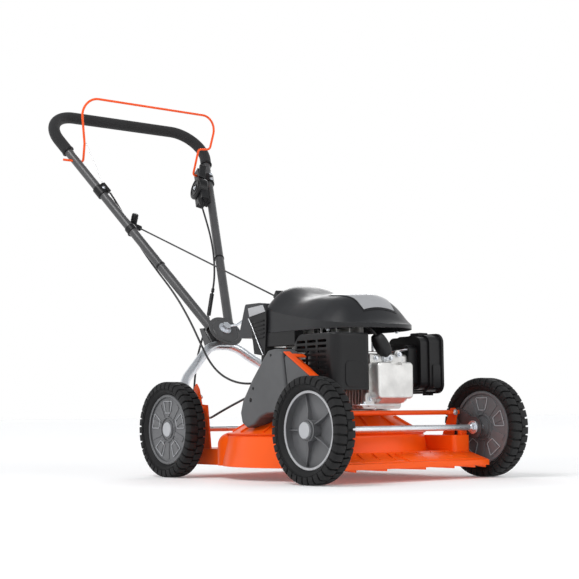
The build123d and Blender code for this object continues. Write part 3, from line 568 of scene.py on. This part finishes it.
def build_drive_cable():
    """Drive cable, from the control box to the drive cover, with its adjuster."""
    route = [beside_tube(1, 438, 32, 2), beside_tube(1, 390, 26, 3), beside_tube(1, 330, 19, 3),
             beside_tube(1, 258, 16.5, 2), place(66, 520, 480), place(40, 496, 430),
             place(20, 482, 380), place(0, 478, 326), place(-18, 476, 276),
             place(-42, 450, 224), place(-76, 404, 178), place(-114, 352, 146),
             place(-144, 304, 135), place(-158, 256, 131), place(-160, 212, 129),
             place(-182, 170, 132), place(-190, 126, 143), place(-190, 82, 157),
             place(-188, 30, 173)]
    cable_piece("drive_cable_jacket", route, CABLE_R, "cable", "drive_cable",
                ("chassis", "handle"))
    sleeve = tube_mesh("cable_adjuster", [place(44, 500, 438), place(33, 491, 412),
                                          place(23, 484, 384)], 5.4 * MM)
    piece = add_piece("cable_adjuster", sleeve, "black_plastic", None, angle=50)
    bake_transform(piece)
    for i, (x, y, z) in enumerate(((50, 504, 452), (20, 482, 377))):
        ends = [place(x, y, z), place(x - 3, y - 2.4, z - 8)]
        collar = tube_mesh(f"adjuster_collar_{i}", ends, 4.2 * MM)
        ring = add_piece(f"adjuster_collar_{i}", collar, "black_rubber", None, angle=50)
        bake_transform(ring)


def build_starter_rope():
    """The taut rope from the engine to the guide, and its short tail into the grip."""
    start, end = place(*ROPE_START), beside_tube(-1, ROPE_END_ALONG, ROPE_END_INWARD)
    steps = 12
    points = [start + (end - start) * (k / steps) for k in range(steps + 1)]
    cable_piece("starter_rope_line", points, ROPE_R, "rope", "starter_rope",
                ("chassis", "handle"))
    pull = joint_axis("starter_pull")
    tail = [end - pull * 2 * MM, end + pull * 3 * MM, end + pull * 8 * MM]
    cable_piece("starter_rope_tail", tail, 1.8 * MM, "rope", None,
                ("handle", "starter_grip"))


def build_bail_wire():
    """The bare inner wire between the bail and the cable's clamp."""
    clamp = beside_tube(-1, 471, 12, 12, 14)
    hook = joint_place("bail_squeeze") + Vector((-0.186, -0.010, 0.058))
    steps = 6
    route = [clamp.lerp(hook, k / steps) for k in range(steps + 1)]
    cable_piece("brake_inner_wire", route, 0.9 * MM, "white_wire", None, ("handle", "bail"))


# ---- engine details -----------------------------------------------------------------------
def draped_patch(name, node, outline, axis, lift, thickness, material, cells=24):
    """A thin plate that lies on a node's surface, cut from a grid seen along one axis."""
    source = frame["nodes"][node].data
    tree = BVHTree.FromPolygons([v.co.copy() for v in source.vertices],
                                [tuple(p.vertices) for p in source.polygons])
    corners = [Vector(c) for c in outline]
    away = Vector(axis)
    verts, faces = [], []
    for i in range(cells + 1):
        for j in range(cells + 1):
            u, v = i / cells, j / cells
            spot = (corners[0] * (1 - u) * (1 - v) + corners[1] * u * (1 - v)
                    + corners[2] * u * v + corners[3] * (1 - u) * v)
            hit, normal, _, _ = tree.ray_cast(spot + away * 0.4, -away)
            if hit is None:
                hit, normal = spot, away
            if normal.dot(away) < 0:
                normal = -normal
            verts.append(hit + normal * lift)
    row = cells + 1
    for i in range(cells):
        for j in range(cells):
            faces.append((i * row + j, (i + 1) * row + j, (i + 1) * row + j + 1, i * row + j + 1))
    mesh = bpy.data.meshes.new(name)
    mesh.from_pydata([tuple(v) for v in verts], [], faces)
    piece = bpy.data.objects.new(name, mesh)
    bpy.context.scene.collection.objects.link(piece)
    solid = piece.modifiers.new("Thickness", "SOLIDIFY")
    solid.thickness = thickness
    solid.offset = 0
    apply_modifiers(piece)
    finished = piece.data
    bpy.data.objects.remove(piece)
    return add_piece(name, finished, material, "chassis", angle=40)


def bolt(name, spot, axis, radius, height, body, material="zinc"):
    """A hexagon bolt with its washer, in millimetres from the crankshaft's axis."""
    return hexagon_head(name, place(*spot), Vector(axis), radius * MM, height * MM, body, material)


def plate(name, outline, plane, level, depth, material, body, bevel=0.4):
    """A flat plate of (a, b) millimetre points in a plane named by its normal axis."""
    across, up = {"x": ((0, 1, 0), (0, 0, 1)), "y": ((0, 0, 1), (1, 0, 0)),
                  "z": ((1, 0, 0), (0, 1, 0))}[plane]
    spot = {"x": (level, 0, 0), "y": (0, level, 0), "z": (0, 0, level)}[plane]
    points = [(b, a) if plane == "y" else (a, b) for a, b in outline]
    mesh = prism(name, [(a * MM, b * MM) for a, b in points], place(*spot), Vector(across),
                 Vector(up), depth * MM)
    return add_piece(name, mesh, material, body, bevel=bevel * MM)


def wire(name, points, radius, material, body="chassis"):
    """A thin bent rod through millimetre points."""
    mesh = tube_mesh(name, [place(*p) for p in points], radius * MM, 10)
    return add_piece(name, mesh, material, body, angle=60)


def build_cover_details():
    """The cover's plain label, the side panel, its ribs and a thin pale line down the pillar."""
    corners = [place(*c, 300) for c in ((-42, -180), (42, -180), (56, -90), (-56, -90))]
    draped_patch("cover_label", "top_cover", corners, (0, 0, 1), 0.9 * MM, 1.2 * MM,
                 "light_label")
    corners = [place(*c, 300) for c in ((-45, -184), (45, -184), (59, -86), (-59, -86))]
    draped_patch("cover_label_frame", "top_cover", corners, (0, 0, 1), 0.25 * MM, 0.9 * MM,
                 "black_plastic")
    plate("side_panel", [(114, 369.5), (59, 373.5), (50, 358.5), (108, 350)], "x", -125.6, 1.5,
          "light_label", "chassis", 0.5)
    for i in range(5):
        z = 341 - 9 * i
        plate(f"pillar_rib_{i}", [(56, z), (104 - 1.6 * i, z - 3), (104 - 1.6 * i, z - 6.5),
                                  (56, z - 3.5)], "x", -125.8, 1.75, "black_plastic", "chassis")
    # A thin pale grey tube down the side of the pillar.
    wire("pillar_pale_line", [(-127, 110, 346), (-127.5, 96, 330), (-127, 78, 296), (-126.6, 57, 264)],
         1.0, "white_wire")
    for i, (x, y) in enumerate(((-96, -128), (96, -128), (-108, 20), (108, 20))):
        bolt(f"cover_screw_{i}", (x, y, 311.8), (0, 0, -1), 3.4, 4, "chassis")


def build_plug_lead():
    """The big square boot on the spark plug and its lead up under the cover."""
    low, high = place(-1, -203, 257), place(-33, -206, 297)
    run = (high - low).normalized()
    side = run.cross(Vector((0, 1, 0))).normalized()
    deep = run.cross(side)
    half_widths = (10.5, 13.5, 14.2, 14.2, 13.8, 12.6, 9.5)
    sides, rings = 20, len(half_widths) - 1
    verts, faces = [], []
    for k, half in enumerate(half_widths):
        middle = low.lerp(high, k / rings)
        for j in range(sides):
            angle = TURN * j / sides
            a, b = math.cos(angle), math.sin(angle)
            squareness = 1 / (abs(a) ** 4 + abs(b) ** 4) ** 0.25
            verts.append(middle + (side * a + deep * b) * squareness * (half * MM))
    for k in range(rings):
        for j in range(sides):
            n = (j + 1) % sides
            faces.append((k * sides + j, k * sides + n, (k + 1) * sides + n,
                          (k + 1) * sides + j))
    faces += [tuple(range(sides)), tuple(range(rings * sides, (rings + 1) * sides))]
    boot = add_piece("plug_boot", mesh_from("plug_boot", verts, faces), "black_rubber", "chassis",
                     bevel=1.2 * MM, angle=50)
    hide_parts("spark_plug_cap")
    wire("plug_lead", [(-31, -206, 294), (-42, -206, 308), (-50, -190, 318), (-54, -150, 322),
                       (-50, -110, 320)], 3.4, "black_rubber")


def build_engine_details():
    """Bolts, linkages, the fuel hose, the dipstick and the air cleaner's ribs."""
    heads = (((33, -203.6, 258), (0, -1, 0), 4.2, 5), ((-50, -204.6, 165), (0, -1, 0), 4.2, 5),
             ((-44, -204.6, 232), (0, -1, 0), 3.4, 4), ((46, -204.6, 170), (0, -1, 0), 3.4, 4),
             ((-28, -199.6, 250), (0, -1, 0), 4.0, 5), ((12, -199.6, 250), (0, -1, 0), 4.0, 5),
             ((86, -150.2, 250), (0, -1, 0), 3.6, 4), ((86, -150.2, 217), (0, -1, 0), 3.6, 4))
    for i, (spot, axis, radius, height) in enumerate(heads):
        bolt(f"engine_head_{i}", spot, axis, radius, height, "chassis")
    wire("governor_rod", [(88, -96, 268), (70, -60, 272), (50, -30, 270), (34, 6, 262)], 1.1,
         "zinc")
    wire("choke_rod", [(96, -140, 268), (96, -168, 272), (70, -176, 270), (52, -150, 266)], 1.1,
         "zinc")
    wire("fuel_hose", [(70, 124, 316), (80, 104, 300), (104, 60, 272), (104, -20, 246),
                       (96, -80, 232), (90, -96, 226)], 4.0, "black_rubber")
    coil_r, step, rise = 3.2, 0.9, 0.35
    coil = [(60 + coil_r * math.cos(step * k), -90 + coil_r * math.sin(step * k), 270 + rise * k)
            for k in range(80)]
    wire("governor_spring", coil, 0.7, "zinc")
    wire("dipstick", [(78, 20, 214), (92, 26, 236), (100, 30, 262)], 7.0, "black_plastic")
    for i, z in enumerate((206, 222, 238, 254)):
        plate(f"cleaner_rib_{i}", [(-160, z), (-76, z), (-76, z + 3), (-160, z + 3)], "x", 192.8,
              1.2, "black_plastic", "chassis")


def build_drive_details():
    """Screws of the drive cover and bolts on the plate behind it."""
    for i, (y, z) in enumerate(((-76, 257), (-14, 190), (-5, 166))):
        bolt(f"drive_screw_{i}", (-204.0, y, z), (-1, 0, 0), 2.2, 1.6, "chassis", "black_plastic")
    for i, (y, z) in enumerate(((-60, 230), (-60, 170), (0, 130))):
        bolt(f"plate_bolt_{i}", (-158.4, y, z), (1, 0, 0), 4.4, 5, "chassis")


def apron_height(y):
    """The height of the deck's sloping front apron, in millimetres."""
    return APRON_FRONT_Z + (y - APRON_FRONT_Y) * APRON_SLOPE


def build_deck_details():
    """Ribs, raised pads and bolts on the moulded deck, and the latch on the front rod."""
    pads = ((-18, 190, -286, -240, 2.2), (-190, -30, -286, -262, 1.6))
    for i, (x0, x1, y0, y1, lift) in enumerate(pads):
        low, high = apron_height(y0), apron_height(y1)
        plate(f"apron_pad_{i}", [(y0, low - 1), (y1, high - 1), (y1, high + lift),
                                 (y0, low + lift)], "x", x0, x1 - x0, "orange_plastic",
              "chassis", bevel=1.6)
    for i in range(9):
        x = -168 + 40 * i
        low, high = apron_height(-278), apron_height(-232)
        wire(f"apron_rib_{i}", [(x, -278, low + 1.6), (x + 9, -255, (low + high) / 2 + 1.4),
                                (x + 18, -232, high + 1.2)], 1.3, "orange_plastic")
    crown_ribs, crown_r, crown_z, crown_fall = 16, 150, 131.2, 0.596
    for i in range(crown_ribs):
        angle = TURN * (i + 0.5) / crown_ribs
        run = [(r * math.cos(angle), r * math.sin(angle), crown_z - (r - crown_r) * crown_fall)
               for r in (152, 178, 203)]
        wire(f"crown_rib_{i}", run, 2.4, "orange_plastic")
    ring = [(211, 96), (214, 97.5), (217, 96), (214, 94)]
    mesh = lathe("deck_bead", [(r * MM, z * MM) for r, z in ring], place(0, 0, 0),
                 Vector((0, 0, 1)), 120)
    add_piece("deck_bead", mesh, "orange_plastic", "chassis")
    plate("latch_plate", [(-88, -217), (-46, -217), (-46, -193), (-88, -193)], "z", 152.2, 3.0,
          "zinc", "chassis", bevel=0.8)
    bolt("latch_bolt", (-67, -205, 155.2), (0, 0, 1), 4.6, 5, "chassis")
    wire("latch_spring", [(-44, -205, 143), (-40, -211, 146), (-36, -205, 148), (-33, -199, 143),
                          (-30, -205, 137)], 1.2, "zinc")
    for side in (-1, 1):
        for i, (y, z) in enumerate(((268, 142), (236, 176))):
            bolt(f"fin_bolt_{side + 1}_{i}", (side * 170.9, y, z), (-side, 0, 0), 4.6, 5, "chassis")
        bolt(f"pin_nut_{side + 1}", (side * 206.1, 213, 150), (side, 0, 0), 4.8, 4.4, "chassis")
        bolt(f"rod_nut_{side + 1}", (side * 185, -212.1, 137), (0, -1, 0), 4.4, 3.2, "chassis")


def build_handle_details():
    """Grip rings, the drum's face, clamp screws, the pull's ridges and the disc's ring."""
    run = {side: (beside_tube(side, 100) - beside_tube(side, 0)).normalized() for side in (-1, 1)}
    for side in (-1, 1):
        outline = [(0.5, 0), (15.4, 0), (16.2, 1.2), (16.2, 3.4), (15.2, 4.6), (0.5, 4.6)]
        start = 617 if side < 0 else 632
        ring = lathe(f"grip_ring_{side + 1}", [(max(r, 11.4) * MM, h * MM) for r, h in outline],
                     beside_tube(side, start, 0, 0, -4), run[side], 40)
        add_piece(f"grip_ring_{side + 1}", ring, "black_rubber", "handle")
    inward = (beside_tube(1, 512, 10) - beside_tube(1, 512, 0)).normalized()
    face = beside_tube(1, 512, 46, 0, 2)
    for i, (low, high) in enumerate(((20, 23.5), (8, 11))):
        outline = [(low, -0.5), (low + 0.6, 1.6), (high - 0.6, 1.6), (high, -0.5)]
        mesh = lathe(f"drum_ring_{i}", [(r * MM, h * MM) for r, h in outline], face, inward, 40)
        add_piece(f"drum_ring_{i}", mesh, "black_plastic", "handle")
    hexagon_head("drum_screw", face, inward, 4.2 * MM, 3 * MM, "handle")
    for i, along in enumerate((556, 576)):
        spot = beside_tube(1, along, -1, 15.4)
        hexagon_head(f"clamp_screw_{i}", spot, HANDLE_NORMAL, 3.4 * MM, 3 * MM, "handle")
    spot = beside_tube(-1, 471, 3, 14.2)
    hexagon_head("cable_clamp_screw", spot, HANDLE_NORMAL, 3.2 * MM, 2.6 * MM, "handle")
    pull = joint_axis("starter_pull")
    end = beside_tube(-1, ROPE_END_ALONG, ROPE_END_INWARD) + pull * 25.2 * MM
    bar = pull.cross(Vector((1, 0, 0))).normalized()
    for i in range(7):
        spot = end + bar * (i - 3) * 6.4 * MM
        outline = [(7.9, -1.1), (9.1, -0.6), (9.1, 0.6), (7.9, 1.1)]
        mesh = lathe(f"pull_rib_{i}", [(r * MM, h * MM) for r, h in outline], spot, bar, 24)
        add_piece(f"pull_rib_{i}", mesh, "black_plastic", "starter_grip")
    low = PIVOT + HANDLE_NORMAL * 14.35 * MM - HANDLE_DIR * 7 * MM
    outline = [(33, 0), (34.5, 1.1), (36, 0), (34.5, -0.4)]
    mesh = lathe("disc_ring", [(r * MM, h * MM) for r, h in outline], low, HANDLE_NORMAL, 64)
    add_piece("disc_ring", mesh, "handle_paint", "handle")


# ---- camera, floor and light --------------------------------------------------------------
def build_camera():
    """The photograph's viewpoint: low, in front of the right front wheel."""
    yaw, pitch, roll = (math.radians(a) for a in (37.764, 5.279, -0.5395))
    ahead = Vector((math.sin(yaw) * math.cos(pitch), math.cos(yaw) * math.cos(pitch),
                    math.sin(pitch)))
    right = Vector((math.cos(yaw), -math.sin(yaw), 0))
    up = right.cross(ahead)
    tilted = right * math.cos(roll) + up * math.sin(roll)
    up = -right * math.sin(roll) + up * math.cos(roll)
    data = bpy.data.cameras.new("camera")
    data.sensor_width = 36.0
    data.lens = 83.37
    data.clip_end = 50.0
    camera = bpy.data.objects.new("camera", data)
    turned = Matrix((tilted, up, -ahead)).transposed().to_4x4()
    camera.matrix_world = Matrix.Translation(place(-1858.85, -2274.78, 137.83)) @ turned
    bpy.context.scene.collection.objects.link(camera)
    bpy.context.scene.camera = camera


def add_light(name, place_at, target, size, power, colour=(1, 1, 1)):
    """A square soft box aimed at a point."""
    data = bpy.data.lights.new(name, "AREA")
    data.shape = "RECTANGLE"
    data.size, data.size_y = size
    data.energy = power
    data.color = colour
    lamp = bpy.data.objects.new(name, data)
    lamp.location = place_at
    lamp.rotation_euler = (Vector(target) - Vector(place_at)).to_track_quat("-Z", "Y").to_euler()
    bpy.context.scene.collection.objects.link(lamp)


def build_studio():
    """A pale floor under soft boxes, in a nearly white room."""
    size = 60.0
    corners = [(-size, -size, 0), (size, -size, 0), (size, size, 0), (-size, size, 0)]
    mesh = mesh_from("floor", [Vector(c) for c in corners], [(0, 1, 2, 3)])
    floor = bpy.data.objects.new("floor", mesh)
    material, tree, shader = start_material("floor_paper")
    tone = tint(tree, add_noise(tree, 3.0), (0.93, 0.93, 0.935), (0.95, 0.95, 0.955))
    tree.links.new(tone, shader.inputs["Base Color"])
    shader.inputs["Roughness"].default_value = 0.7
    shader.inputs["Specular IOR Level"].default_value = 0.2
    shader.inputs["Emission Color"].default_value = (1, 1, 1, 1)
    coords = tree.nodes.new("ShaderNodeTexCoord")
    reach = tree.nodes.new("ShaderNodeVectorMath")
    reach.operation = "LENGTH"
    glow = tree.nodes.new("ShaderNodeMapRange")
    glow.inputs["From Min"].default_value = 0.7
    glow.inputs["From Max"].default_value = 4.0
    glow.inputs["To Min"].default_value = 0.1
    glow.inputs["To Max"].default_value = 0.42
    tree.links.new(coords.outputs["Object"], reach.inputs[0])
    tree.links.new(reach.outputs["Value"], glow.inputs["Value"])
    tree.links.new(glow.outputs["Result"], shader.inputs["Emission Strength"])
    mesh.materials.append(material)
    bpy.context.scene.collection.objects.link(floor)
    build_sky()
    bpy.context.scene.view_settings.view_transform = "Standard"
    middle = (0, 0, 0.35)
    add_light("key", (-1.9, -0.6, 2.6), middle, (1.3, 1.3), 40)
    add_light("front", (0.9, -2.9, 1.7), middle, (1.6, 0.9), 16)
    add_light("rim", (1.9, 2.2, 2.0), middle, (1.2, 1.2), 16)


def build_sky():
    """A white room whose ceiling falls off to grey, so dark pieces keep their depth."""
    world = bpy.data.worlds.new("studio")
    world.use_nodes = True
    tree = world.node_tree
    coords = tree.nodes.new("ShaderNodeTexCoord")
    parts = tree.nodes.new("ShaderNodeSeparateXYZ")
    ramp = tree.nodes.new("ShaderNodeValToRGB")
    tree.links.new(coords.outputs["Generated"], parts.inputs["Vector"])
    tree.links.new(parts.outputs["Z"], ramp.inputs["Fac"])
    ramp.color_ramp.elements[0].position = 0.32
    ramp.color_ramp.elements[0].color = (1, 1, 1, 1)
    ramp.color_ramp.elements[1].position = 0.72
    ramp.color_ramp.elements[1].color = (0.4, 0.41, 0.42, 1)
    back = tree.nodes["Background"]
    tree.links.new(ramp.outputs["Color"], back.inputs["Color"])
    back.inputs["Strength"].default_value = 1.0
    bpy.context.scene.world = world


def main():
    """Paint the frame, then build each group of pieces."""
    build_camera()
    build_studio()
    paint_frame()
    build_wheels()
    build_brake_cable()
    build_drive_cable()
    build_starter_rope()
    build_bail_wire()
    build_cover_details()
    build_plug_lead()
    build_engine_details()
    build_drive_details()
    build_deck_details()
    build_handle_details()


main()
